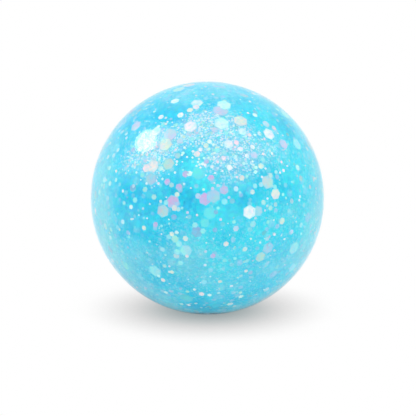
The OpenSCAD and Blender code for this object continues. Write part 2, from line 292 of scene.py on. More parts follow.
def revolve(profile, around=AROUND):
    """A point (r, z) of the profile becomes the ring (r cos a, r sin a, z) for angles a all round, and its first and
    last points, on the axis, one vertex each. A profile that runs down the outside gives faces that point out."""
    angle = np.linspace(0, 2 * np.pi, around, endpoint=False)
    r, z = profile[1:-1, :1], profile[1:-1, 1:]
    rings = np.stack([r * np.cos(angle), r * np.sin(angle), z + 0 * angle], axis=-1)
    top, bottom = [0, 0, profile[0, 1]], [0, 0, profile[-1, 1]]
    points = np.vstack([rings.reshape(-1, 3), top, bottom])
    index = np.arange(len(r) * around).reshape(len(r), around)
    onward = np.roll(index, -1, axis=1)
    quads = np.stack([index[:-1], index[1:], onward[1:], onward[:-1]], axis=-1).reshape(-1, 4)
    first, last = len(points) - 2, len(points) - 1
    cap = np.stack([np.full(around, first), index[0], onward[0]], axis=-1)
    base = np.stack([index[-1], np.full(around, last), onward[-1]], axis=-1)
    return points, quads, np.vstack([cap, base])


def new_piece(name, points, faces, materials):
    """Puts points and faces into a mesh object at the origin."""
    mesh = bpy.data.meshes.new(name)
    mesh.from_pydata(points.tolist(), [], faces)
    for finish in materials:
        mesh.materials.append(finish)
    piece = bpy.data.objects.new(name, mesh)
    bpy.context.collection.objects.link(piece)
    print(f"{name}: {len(points)} points, {len(faces)} faces")
    return piece


print("a ring round the axis has", AROUND, "points")

# %% [markdown]
# The skin is moulded thermoplastic rubber, 2 mm thick and clear as water. Light bends where it enters the outside,
# but the gel has wetted the inside and bends light just as much, so the inner face shows nothing at all: it is
# simply see-through. The outside is glossy, with the faint unevenness that soft rubber keeps.

# %% Finish of the clear rubber
RUBBER_IOR = 1.40
RIPPLE_MM, RIPPLE_DEEP, RIPPLE_STRENGTH = 6, 0.2 * MM, 0.02
RUBBER_ROUGH = (0.05, 0.1)
FAINT_CLOUD_MM = 12

clear_rubber, tree, place = new_material("clear_rubber_moulded")
ripple = node(tree, "ShaderNodeTexNoise", {"Vector": place, "Scale": per_mm(RIPPLE_MM), "Detail": 3.0})
haze = node(tree, "ShaderNodeMapRange", {
    "Value": ripple.outputs["Fac"], "To Min": RUBBER_ROUGH[0], "To Max": RUBBER_ROUGH[1],
})
bump = node(tree, "ShaderNodeBump", {
    "Height": ripple.outputs["Fac"], "Strength": RIPPLE_STRENGTH, "Distance": RIPPLE_DEEP,
})
shader = node(tree, "ShaderNodeBsdfPrincipled", {
    "Base Color": linear("#FFFFFF"), "Transmission Weight": 1.0, "IOR": RUBBER_IOR,
    "Roughness": haze.outputs["Result"], "Normal": bump.outputs["Normal"],
})
node(tree, "ShaderNodeOutputMaterial", {"Surface": shader.outputs[0]})

wetted_face, tree, place = new_material("clear_rubber_wetted_by_gel")
faint = node(tree, "ShaderNodeTexNoise", {"Vector": place, "Scale": per_mm(FAINT_CLOUD_MM)})
water = node(tree, "ShaderNodeMix", {
    0: faint.outputs["Fac"], 6: linear("#FFFFFF"), 7: linear("#FBFEFF"),
}, data_type="RGBA")
shader = node(tree, "ShaderNodeBsdfTransparent", {"Color": water.outputs[2]})
node(tree, "ShaderNodeOutputMaterial", {"Surface": shader.outputs[0]})
print("rubber bends light with an index of", RUBBER_IOR)

# %% [markdown]
# The skin's profile runs from the top down the outside, over the soft flat foot, in through the plug's seat and the
# filling port, over the boss that thickens the port's rim, and back up the inside. The foot settles gently instead of
# ending in an edge: with s the sphere's height above the floor, the surface is at half of s plus the root of
# s squared plus the ease squared, which is s when well above the floor and nearly 0 below it.

# %% Skin
SKIN_WALL = 2 * MM
FOOT_EASE = 0.4 * MM
SEAT_R, SEAT_TOP, SEAT_EDGE = 4.25 * MM, 0.95 * MM, 0.12 * MM
PORT_R, BOSS_R, BOSS_TOP = 3.2 * MM, 6.5 * MM, 3.8 * MM
BOSS_EDGE = 0.4 * MM
OUTSIDE_ROWS, INSIDE_ROWS = 180, 72
SHARP_DEG = 50


def sphere_profile(radius, low_r, rows):
    """The arc (R sin a, R cos a) round the ball's middle, from the top down to where it is low_r from the axis."""
    angle = np.linspace(0, np.pi - np.arcsin(low_r / radius), rows)
    return np.stack([radius * np.sin(angle), CENTRE[2] + radius * np.cos(angle)], axis=1)


outside = sphere_profile(BALL_R, SEAT_R + SEAT_EDGE, OUTSIDE_ROWS)
outside[:, 1] = (outside[:, 1] + np.hypot(outside[:, 1], FOOT_EASE)) / 2
seat_low = outside[-1, 1]
port = np.array([
    (SEAT_R, seat_low + SEAT_EDGE), (SEAT_R, SEAT_TOP), (PORT_R, SEAT_TOP), (PORT_R, BOSS_TOP - BOSS_EDGE),
    (PORT_R + BOSS_EDGE, BOSS_TOP), (BOSS_R - BOSS_EDGE, BOSS_TOP), (BOSS_R, BOSS_TOP - BOSS_EDGE),
])
inside = sphere_profile(BALL_R - SKIN_WALL, BOSS_R, INSIDE_ROWS)[::-1]
skin_profile = np.vstack([outside, port, inside])
skin_profile[[0, -1], 0] = 0
points, quads, caps = revolve(skin_profile)
skin = new_piece("skin", points, quads.tolist() + caps.tolist(), [clear_rubber, wetted_face])
# The gel wets the skin from the top of the port on, which is the fourth point of the port's profile.
first_wetted = len(outside) + 3
row_above = 1 + np.repeat(np.arange(len(skin_profile) - 3), AROUND)
wetted = row_above >= first_wetted
wetted_caps = np.repeat([False, True], AROUND)
skin.data.polygons.foreach_set("material_index", np.concatenate([wetted, wetted_caps]).astype(np.int32))
skin.data.shade_smooth()
skin.data.set_sharp_from_angle(angle=np.radians(SHARP_DEG))
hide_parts("outer_skin")
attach(skin, "ball")

# %% [markdown]
# What hangs in the gel is put where the picture shows it. A line from the eye through a pixel meets the skin, bends
# there by Snell's law, and goes on to the depth that is asked for.

# %% What shows at a pixel
def unit(vectors):
    """Vectors scaled to length 1."""
    return vectors / np.linalg.norm(vectors, axis=-1, keepdims=True)


def first_hit(start, ray, radius):
    """How far along a ray it meets a sphere round the ball's middle: minus b minus the root of b squared less c."""
    from_middle = start - CENTRE
    b = (from_middle * ray).sum(axis=-1, keepdims=True)
    c = (from_middle ** 2).sum(axis=-1, keepdims=True) - radius ** 2
    return -b - np.sqrt(b * b - c)


def seen_at(pixels, radius):
    """Points of the sphere of that radius inside the ball that show at the given pixels."""
    across = (np.asarray(pixels, float) - IMAGE_PX / 2) / focal_px
    ray = unit(np.column_stack([across[:, 0], -across[:, 1], -np.ones(len(across))]) @ VIEW_AXES.T)
    on_skin = eye + first_hit(eye, ray, BALL_R) * ray
    surface = (on_skin - CENTRE) / BALL_R
    cosine = -(ray * surface).sum(axis=-1, keepdims=True)
    bent = ray / RUBBER_IOR + surface * (cosine / RUBBER_IOR - np.sqrt(1 - (1 - cosine ** 2) / RUBBER_IOR ** 2))
    return on_skin + first_hit(on_skin, bent, radius) * bent


print("under the ball's middle pixel:", seen_at([BALL_AT_PX], GEL_R).round(4).tolist())

# %% [markdown]
# The gel is dyed pale blue, and clear for about a millimetre under the skin. Deeper down, so much fine glitter hangs
# in it that it looks milky, and nothing is seen through it. That milky heart has clouds: pale ones where the finest
# glitter hangs thick, deep ones where there is little of it, aqua ones, and a mint haze. The pale ones in front, round
# the gloss and across the top, are partly painted glint of that glitter in the softbox and the light from above, and
# the deep one low at the foot is painted shade where the ball meets the floor. Each is a soft ball round a point.
# Those in front are put at the pixel where the picture shows them, with their radius in millimetres and how strong
# they are in the middle, and the rest are drawn at random.

# %% Clouds in the gel
HEART_R = GEL_R - 1 * MM
CLOUDS_SEEN = {
    # Pale clouds in front: partly thick fine glitter, partly painted glint of it round the gloss and across the top.
    "pale": [(150, 151, 8, 0.9), (151, 175, 4.5, 0.6), (172, 140, 7, 0.7), (197, 127, 8, 0.8),
             (228, 126, 8.5, 0.75), (226, 148, 9, 0.6), (248, 148, 9, 0.6), (207, 158, 6, 0.3), (235, 171, 8, 0.5),
             (275, 150, 7, 0.3), (203, 116, 6, 0.35), (161, 146, 6, 0.5), (130, 163, 6, 0.4)],
    "haze": [(100, 190, 10, 0.6), (104, 218, 10, 0.6), (108, 244, 10, 0.6), (122, 262, 9, 0.5), (143, 260, 8, 0.4),
             (138, 284, 9, 0.35), (165, 294, 9, 0.15), (195, 272, 10, 0.3), (182, 258, 9, 0.3), (240, 280, 10, 0.2),
             (278, 262, 9, 0.25), (303, 250, 9, 0.5), (316, 214, 9, 0.6), (318, 180, 8, 0.3), (222, 94, 9, 0.35),
             (182, 98, 8, 0.4), (106, 160, 9, 0.4), (293, 212, 5, 0.3), (129, 217, 5, 0.25)],
    # Deep clouds; the last one, low at the foot, is painted shade where the ball meets the floor.
    "deep": [(132, 197, 10, 0.75), (174, 194, 8, 0.6), (194, 198, 7, 0.8), (160, 206, 7, 0.4), (221, 214, 6, 0.4),
             (187, 158, 5, 0.7), (245, 196, 7, 0.6), (172, 112, 7, 0.6), (248, 113, 5, 0.4), (284, 124, 6, 0.6),
             (290, 190, 6, 0.5), (127, 126, 6, 0.4), (142, 224, 7, 0.3), (207, 308, 8, 0.4)],
    "aqua": [(197, 163, 6, 0.9), (203, 181, 6, 0.9), (217, 215, 8, 0.8), (260, 232, 10, 0.8), (205, 246, 8, 0.6),
             (223, 265, 6, 0.6), (288, 168, 8, 0.8), (112, 172, 6, 0.5), (268, 205, 7, 0.6), (300, 190, 10, 0.7),
             (304, 228, 10, 0.7), (312, 166, 9, 0.6), (284, 226, 8, 0.6), (243, 120, 8, 0.5), (266, 116, 8, 0.6),
             (270, 140, 8, 0.5), (243, 180, 7, 0.4), (290, 150, 8, 0.5)],
}
CLOUDS_TRIED = 26
CLOUD_MM, CLOUD_SHARES = (6, 11), (0.4, 0.9)
SEED = 63
chance = np.random.default_rng(SEED)


def cloud_places(spots):
    """Middles, radii and strongest shares of clouds: those listed, and random ones where the camera doesn't see."""
    pixels = np.array(spots, float)
    behind = unit(chance.normal(size=(CLOUDS_TRIED, 3)))
    behind = behind[behind @ unit(eye - CENTRE) < 0]
    radii = np.concatenate([pixels[:, 2], chance.uniform(*CLOUD_MM, len(behind))]) * MM
    shares = np.concatenate([pixels[:, 3], chance.uniform(*CLOUD_SHARES, len(behind))])
    return np.vstack([seen_at(pixels[:, :2], HEART_R), CENTRE + HEART_R * behind]), radii, shares


clouds = {kind: cloud_places(spots) for kind, spots in CLOUDS_SEEN.items()}
print({kind: len(places[0]) for kind, places in clouds.items()})

# %% [markdown]
# The heart is drawn as a matt surface. Its mesh carries how much of each kind of cloud is at a point, as the red,
# green, blue and alpha of a colour attribute. Two noises, a wide swirl and smaller patches, keep the blue between the
# clouds from being flat.

# %% Finish of the gel
SWIRL_MM, PATCH_MM = 20, 7
SWIRL_TINTS, PATCH_TINT = ("#10CAEA", "#3AD6F0"), "#80E6F6"
CHANNELS = ("pale", "deep", "aqua", "haze")
CLOUD_TINTS = {"deep": "#08C2E8", "aqua": "#44E6F4", "haze": "#98E4EA", "pale": "#8EDDF2"}

blue_gel, tree, place = new_material("blue_gel_full_of_glitter")
swirl = node(tree, "ShaderNodeTexNoise", {
    "Vector": place, "Scale": per_mm(SWIRL_MM), "Detail": 2.0, "Distortion": 0.8,
})
patch = node(tree, "ShaderNodeTexNoise", {"Vector": place, "Scale": per_mm(PATCH_MM), "Detail": 3.0})
swirl_share = node(tree, "ShaderNodeMapRange", {"Value": swirl.outputs["Fac"], "From Min": 0.38, "From Max": 0.62})
patch_share = node(tree, "ShaderNodeMapRange", {
    "Value": patch.outputs["Fac"], "From Min": 0.5, "From Max": 0.75, "To Max": 0.5,
})
tone = node(tree, "ShaderNodeMix", {
    0: swirl_share.outputs["Result"], 6: linear(SWIRL_TINTS[0]), 7: linear(SWIRL_TINTS[1]),
}, data_type="RGBA")
tone = node(tree, "ShaderNodeMix", {
    0: patch_share.outputs["Result"], 6: tone.outputs[2], 7: linear(PATCH_TINT),
}, data_type="RGBA")
cloud = node(tree, "ShaderNodeAttribute", attribute_name="clouds")
rgb = node(tree, "ShaderNodeSeparateColor", {0: cloud.outputs["Color"]}).outputs
share_of = dict(zip(CHANNELS, (rgb["Red"], rgb["Green"], rgb["Blue"], cloud.outputs["Alpha"])))
for kind, cloud_tint in CLOUD_TINTS.items():
    tone = node(tree, "ShaderNodeMix", {
        0: share_of[kind], 6: tone.outputs[2], 7: linear(cloud_tint),
    }, data_type="RGBA")
print("clouds over the blue, first to last:", ", ".join(CLOUD_TINTS))

# %% [markdown]
# Over the clouds lie soft discs, for the flakes that hang too deep to be sharp, and a dust of pale specks, thick in
# the pale clouds, so that in front they share the clouds' painted glint. Last, a fine mottle turns the hue and the
# brightness of each small cell a little, because each flake down there has a tint of its own. A Voronoi texture gives
# all three: each of its cells is a flake, the distance from the cell's middle makes it round, and the cell's random
# colour says how strong it is and which tint it has.

# %% Deep flakes and dust in the gel
DISCS = {4.2: ("#94EAF0", "#BCC8EE", 0.45), 2.2: ("#A8ECEC", "#CCC0EA", 0.5)}
SPECKS = {0.9: 0.8, 0.5: 1.0}
SPECK_TINTS = ("#E8E6FB", "#E6FEFF")
MOTTLE_MM, HUE_TURN, VALUE_TURN, LEAST_MOTTLE = 0.8, 0.02, 0.09, 0.45
GEL_ROUGH = 0.7

for size_mm, (one_tint, other_tint, strongest) in DISCS.items():
    cell = node(tree, "ShaderNodeTexVoronoi", {"Vector": place, "Scale": per_mm(size_mm)})
    lots = node(tree, "ShaderNodeSeparateColor", {0: cell.outputs["Color"]})
    disc = node(tree, "ShaderNodeMapRange", {
        "Value": cell.outputs["Distance"], "From Min": 0.36, "From Max": 0.22,
    }, interpolation_type="SMOOTHSTEP")
    kept = node(tree, "ShaderNodeMapRange", {
        "Value": lots.outputs[0], "From Min": 0.4, "From Max": 0.9, "To Max": strongest,
    })
    cover = node(tree, "ShaderNodeMath", {
        0: disc.outputs["Result"], 1: kept.outputs["Result"],
    }, operation="MULTIPLY")
    film = node(tree, "ShaderNodeMix", {
        0: lots.outputs[1], 6: linear(one_tint), 7: linear(other_tint),
    }, data_type="RGBA")
    tone = node(tree, "ShaderNodeMix", {
        0: cover.outputs[0], 6: tone.outputs[2], 7: film.outputs[2],
    }, data_type="RGBA")

# The specks are thickest where the pale clouds are: real dust, and in front partly painted glint.
dust_and_glint = node(tree, "ShaderNodeMath", {0: share_of["pale"], 1: share_of["deep"]}, operation="SUBTRACT")
for size_mm, thickest in SPECKS.items():
    cell = node(tree, "ShaderNodeTexVoronoi", {"Vector": place, "Scale": per_mm(size_mm)})
    lots = node(tree, "ShaderNodeSeparateColor", {0: cell.outputs["Color"]})
    dot = node(tree, "ShaderNodeMapRange", {
        "Value": cell.outputs["Distance"], "From Min": 0.5, "From Max": 0.3,
    }, interpolation_type="SMOOTHSTEP")
    film = node(tree, "ShaderNodeMix", {
        0: lots.outputs[1], 6: linear(SPECK_TINTS[0]), 7: linear(SPECK_TINTS[1]),
    }, data_type="RGBA")
    much = node(tree, "ShaderNodeMapRange", {
        "Value": dust_and_glint.outputs[0], "From Min": -0.35, "From Max": 0.9, "To Max": thickest,
    }, interpolation_type="SMOOTHSTEP")
    bright = node(tree, "ShaderNodeMath", {0: lots.outputs[0], 1: much.outputs["Result"]}, operation="MULTIPLY")
    cover = node(tree, "ShaderNodeMath", {0: dot.outputs["Result"], 1: bright.outputs[0]}, operation="MULTIPLY")
    tone = node(tree, "ShaderNodeMix", {
        0: cover.outputs[0], 6: tone.outputs[2], 7: film.outputs[2],
    }, data_type="RGBA")

cell = node(tree, "ShaderNodeTexVoronoi", {"Vector": place, "Scale": per_mm(MOTTLE_MM)})
lots = node(tree, "ShaderNodeSeparateColor", {0: cell.outputs["Color"]})
hue = node(tree, "ShaderNodeMapRange", {
    "Value": lots.outputs[0], "To Min": 0.5 - HUE_TURN, "To Max": 0.5 + HUE_TURN,
})
value = node(tree, "ShaderNodeMapRange", {
    "Value": lots.outputs[1], "To Min": 1 - VALUE_TURN, "To Max": 1 + VALUE_TURN,
})
cloudy = node(tree, "ShaderNodeMath", {0: share_of["pale"], 1: share_of["deep"]}, operation="ADD")
mottle_share = node(tree, "ShaderNodeMapRange", {"Value": cloudy.outputs[0], "To Min": LEAST_MOTTLE})
mottled = node(tree, "ShaderNodeHueSaturation", {
    "Color": tone.outputs[2], "Hue": hue.outputs["Result"], "Value": value.outputs["Result"],
    "Fac": mottle_share.outputs["Result"],
})
shader = node(tree, "ShaderNodeBsdfPrincipled", {
    "Base Color": mottled.outputs[0], "Roughness": GEL_ROUGH, "Specular IOR Level": 0.0,
})
node(tree, "ShaderNodeOutputMaterial", {"Surface": shader.outputs[0]})
print(len(DISCS), "sizes of disc,", len(SPECKS), "sizes of speck, mottle of", MOTTLE_MM, "mm")

# %% [markdown]
# The milky heart is a thick hollow ball round the light capsule. Its hollow is wider than the capsule, so that there
# is still room when a squeeze flattens it. Underneath, a dimple keeps it clear of the plug's barb: the radius is
# less by a bell curve, the exponential of minus the fourth power of the distance from the axis.

# %% Milky heart of the gel
HOLLOW_R = 19 * MM
DIMPLE_DEEP, DIMPLE_R = 4.4 * MM, 7 * MM
HEART_ROWS, HEART_AROUND = 120, 160
HOLLOW_ROWS, HOLLOW_AROUND = 40, 64


def heart_profile(radius, dimple, rows):
    """Half a circle from the top to the bottom, less the bell-shaped dimple round the bottom."""
    angle = np.linspace(0, np.pi, rows)
    bell = np.exp(-(radius * np.sin(angle) / DIMPLE_R) ** 4) * (angle > np.pi / 2)
    r = radius - dimple * bell
    return np.stack([r * np.sin(angle), CENTRE[2] + r * np.cos(angle)], axis=1)


def cloud_share(points, kind):
    """How much of a kind of cloud is at each point: a smooth step, 3 t squared less 2 t cubed, from 0 at a cloud's
    radius to its strongest share at its middle. Where clouds overlap, what one lets through the next covers."""
    middles, radii, strongest = clouds[kind]
    t = np.clip(1 - np.linalg.norm(points[:, None] - middles, axis=-1) / radii, 0, 1)
    return 1 - (1 - strongest * t * t * (3 - 2 * t)).prod(axis=1)


points, quads, caps = revolve(heart_profile(HEART_R, DIMPLE_DEEP, HEART_ROWS), HEART_AROUND)
hollow, hollow_quads, hollow_caps = revolve(heart_profile(HOLLOW_R, 0, HOLLOW_ROWS), HOLLOW_AROUND)
faces = quads.tolist() + caps.tolist()
faces += (hollow_quads[:, ::-1] + len(points)).tolist() + (hollow_caps[:, ::-1] + len(points)).tolist()
points = np.vstack([points, hollow])
gel = new_piece("gel_heart", points, faces, [blue_gel])
shares = np.column_stack([cloud_share(points, kind) for kind in CHANNELS])
gel.data.color_attributes.new("clouds", "FLOAT_COLOR", "POINT").data.foreach_set("color", shares.ravel())
gel.data.shade_smooth()
print("mean shares of cloud:", dict(zip(CHANNELS, shares.mean(axis=0).round(2).tolist())))
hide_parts("gel_fill")
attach(gel, "ball")

# %% [markdown]
# The glitter is cut from iridescent film, so each flake is a mirror that keeps only some colours: most look white,
# and others cream, pink, lilac or mint. It is drawn as a satin surface that is partly metal, and each flake carries
# its own tint in a colour attribute. Film is never quite flat, so the colour that it mirrors turns a little from pink
# to mint along it: this iridescent sheen is painted into its colour. Gel clings to it unevenly, so a fine grain lets
# some of the gel's own colour through.

# %% Finish of the glitter
FILM_TINTS = {
    "pearl": "#F2F4F2", "cream": "#E6E7DA", "khaki": "#BCDAD2", "blush": "#FFE2E4", "orchid": "#CCB2DE",
    "lavender": "#CAD5E8", "periwinkle": "#A8D0E2", "dusk": "#84B2DA", "grey": "#C0D2D6", "mint": "#D2F8F0",
    "celadon": "#AEE4DC", "aqua": "#9EE9EC", "turquoise": "#62E2E8",
}
GEL_TINT, MURK_TINT = linear("#5ADAF4"), linear("#70DEF2")
GRAIN_MM, SHEEN_MM = 0.9, 3
PAINTED_SHEEN_TINTS = ("#FFEFF8", "#EEFFF6")
FILM_METAL, FILM_ROUGH = 0.4, 0.3

glitter_film, tree, place = new_material("iridescent_film_cut")
tint = node(tree, "ShaderNodeAttribute", attribute_name="tint")
grain = node(tree, "ShaderNodeTexNoise", {"Vector": place, "Scale": per_mm(GRAIN_MM), "Detail": 2.0})
wear = node(tree, "ShaderNodeMapRange", {
    "Value": grain.outputs["Fac"], "From Min": 0.4, "From Max": 0.7, "To Max": 0.45,
})
# A painted iridescent sheen: a noise turns the film's colour from pink to mint along each flake.
sheen = node(tree, "ShaderNodeTexNoise", {"Vector": place, "Scale": per_mm(SHEEN_MM)})
turned = node(tree, "ShaderNodeMapRange", {"Value": sheen.outputs["Fac"], "From Min": 0.4, "From Max": 0.6})
painted_sheen = node(tree, "ShaderNodeMix", {
    0: turned.outputs["Result"], 6: linear(PAINTED_SHEEN_TINTS[0]), 7: linear(PAINTED_SHEEN_TINTS[1]),
}, data_type="RGBA")
colour = node(tree, "ShaderNodeMix", {
    0: 1.0, 6: tint.outputs["Color"], 7: painted_sheen.outputs[2],
}, data_type="RGBA", blend_type="MULTIPLY")
colour = node(tree, "ShaderNodeMix", {
    0: wear.outputs["Result"], 6: colour.outputs[2], 7: GEL_TINT,
}, data_type="RGBA")
shader = node(tree, "ShaderNodeBsdfPrincipled", {
    "Base Color": colour.outputs[2], "Metallic": FILM_METAL, "Roughness": FILM_ROUGH,
})
node(tree, "ShaderNodeOutputMaterial", {"Surface": shader.outputs[0]})
print(len(FILM_TINTS), "tints of film")

# %% [markdown]
# A flake is a flat hexagonal prism. All flakes of a size are worked out at once as one array: each has a middle, a
# direction that it faces and a turn, and its corners are on small circles across that direction. Seen through the
# gel, the rim of a flake melts into the blue, so the larger ones have a second ring a little inside the rim, and
# the tint goes from the gel's colour at the rim to the film's own colour there. Such film is clear, and lets through
# the light that it does not mirror, so it casts no shade on the gel: matt surfaces don't see it.

# %% Flakes
FLAKE_T = 0.06 * MM
# Each ring of corners: its share of the full width, its side of the flake, and how far it melts into the gel's colour.
SOFT_RINGS = ((0.82, 1, 0.0), (1.0, 1, 0.7), (1.0, -1, 0.7))
CRISP_RINGS = ((0.85, 1, 0.0), (1.0, 1, 0.5), (1.0, -1, 0.5))
PLAIN_RINGS = ((1.0, 1, 0.0), (1.0, -1, 0.0))


def flakes(name, middles, facing, widths, tints, sides, rings):
    """Corner k of a ring is the middle plus w(cos b u + sin b v), with u and v across the facing, b the turn plus k
    equal parts of a circle, and w the ring's share of half the width over corners, half a thickness up or down."""
    u = unit(np.cross(facing, np.where(np.abs(facing[:, 2:]) < 0.9, (0, 0, 1), (1, 0, 0))))
    v = np.cross(facing, u)
    turn = chance.uniform(0, 2 * np.pi, (len(middles), 1)) + np.arange(sides) * 2 * np.pi / sides
    reach = (widths / 2 / np.cos(np.pi / sides))[:, None, None]
    corners = reach * (np.cos(turn)[..., None] * u[:, None] + np.sin(turn)[..., None] * v[:, None])
    lift = facing[:, None] * FLAKE_T / 2
    rim = [share * corners + side * lift for share, side, melt in rings]
    points = middles[:, None] + np.concatenate(rim, axis=1)
    shades = np.stack([tints * (1 - melt) + np.array(GEL_TINT) * melt for share, side, melt in rings], axis=1)
    start = np.arange(len(middles))[:, None] * len(rings) * sides
    k = np.arange(sides)
    near = start + k
    far = start + (len(rings) - 1) * sides + k[::-1]
    band = np.stack([k, k + sides, np.roll(k, -1) + sides, np.roll(k, -1)], axis=-1)
    bands = np.concatenate([band + i * sides for i in range(len(rings) - 1)])
    faces = near.tolist() + far.tolist() + (start[..., None] + bands).reshape(-1, 4).tolist()
    piece = new_piece(name, points.reshape(-1, 3), faces, [glitter_film])
    attribute = piece.data.color_attributes.new("tint", "FLOAT_COLOR", "POINT")
    attribute.data.foreach_set("color", np.repeat(shades, sides, axis=1).ravel())
    piece.visible_diffuse = False
    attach(piece, "ball")
    return piece


print(f"a flake is {FLAKE_T / MM:.2f} mm thick")

# %% [markdown]
# The flakes that stand out in the picture are put at the pixel where they show there, each with its width in pixels.
# They are grouped by size, and in each size by the tint of their film.

# %% Flakes at listed pixels
LARGE_SEEN = {
    "pearl": [(190.5, 126.5, 12.5), (249.5, 212, 12), (228.5, 144, 9), (269, 134, 11.5)],
    "blush": [(153, 166, 12), (146.5, 168, 8)],
    "cream": [(165.5, 144.5, 13), (275.5, 194, 9.5), (240.5, 121, 13)],
    "khaki": [(168.5, 164, 11), (267.5, 182, 12), (260.5, 257, 10)],
    "orchid": [(224, 190, 8), (173, 202, 12), (205, 199, 11)],
    "lavender": [(170, 134.5, 13), (220.5, 111, 14), (283.5, 144, 10), (254, 155, 7), (136, 126, 11)],
    "periwinkle": [(151, 179, 11), (213.5, 196, 12), (258, 211, 9), (268, 248, 11)],
    "dusk": [(197, 232, 10), (133, 188, 7)],
    "grey": [(163, 211, 11)],
    "mint": [(224, 105, 13), (221.5, 123.5, 14), (242.5, 131.5, 8), (156, 131.5, 10), (197, 103, 11)],
    "aqua": [(186, 250.5, 11), (155, 271, 12), (125, 265, 11), (294, 248, 12), (297, 144, 11)],
    "turquoise": [(199, 173, 12), (210, 213, 11), (205, 223, 8), (186, 298, 12)],
}
MEDIUM_SEEN = {
    "pearl": [(189.5, 173.5, 5), (209.5, 141.5, 4.5), (200.5, 149.5, 4), (240.5, 149, 5), (229.5, 167.5, 5.5),
              (247, 156, 4.5), (252.5, 147, 5), (131, 207, 4), (175, 101, 8), (180.5, 115, 6), (161, 117, 5.5),
              (158.5, 126.5, 3.5), (212, 166.5, 3.5), (123, 191, 3), (255, 115, 5)],
    "cream": [(206, 145.5, 5), (261, 166, 5.5), (177, 194.5, 4.5), (174.5, 208, 5.5), (144, 228, 4.5),
              (172, 234, 4.5), (185.5, 238.5, 5), (226, 244, 5), (245, 249, 4.5), (220, 281.5, 4), (246, 271, 3.5),
              (252.5, 192, 4.5), (163, 280, 4.5), (282, 221, 6.5), (190, 110, 6), (172, 272, 4), (274, 234, 3)],
    "blush": [(197, 154, 6), (236.5, 142.5, 5), (223.5, 158, 4.5), (249.5, 135, 4), (187, 256, 3.5), (196, 107, 6),
              (313.5, 179, 5), (310, 187, 4), (274, 128, 5)],
    "orchid": [(185.5, 174, 6), (211, 178, 6), (206.5, 161.5, 4.5), (155.5, 224.5, 5), (213, 256, 5),
               (179, 187, 6)],
    "lavender": [(180, 141, 6), (198, 196, 5), (236, 228.5, 5.5), (215, 130, 6), (266, 124, 7)],
    "dusk": [(216, 212, 4), (215, 230, 4.5), (174, 217, 5)],
    "mint": [(108, 157, 4.5), (110, 183.5, 4.5), (116, 180, 4), (104, 186, 5), (99.5, 192, 5), (105.5, 226.5, 6),
             (118, 150, 4), (111, 229.5, 4), (110.5, 237.5, 4), (109.5, 168, 4.5), (241, 296.5, 5), (230, 304, 6),
             (209.5, 295, 4)],
    "celadon": [(145, 189.5, 5), (154, 197, 5), (171.5, 185, 4.5), (263.5, 202.5, 5), (270.5, 208, 4.5),
                (175, 239, 7), (275.5, 204.5, 4.5), (270.5, 175.5, 5), (164.5, 266, 4)],
    "aqua": [(142.5, 175, 5), (166, 202.5, 4.5), (255, 186, 4.5), (261, 184.5, 4.5), (275, 187, 4.5), (253, 224, 6),
             (179, 244, 6), (180.5, 263, 5), (201, 254, 3.5), (241, 276, 3.5), (247, 261, 4), (224, 152.5, 5),
             (217.5, 150.5, 5), (226, 133, 4.5), (263, 159.5, 4.5), (177, 252, 6), (135, 200, 5), (124, 203, 4),
             (122.5, 252, 4.5), (289, 211, 4), (195, 225, 5), (203, 231, 5)],
}
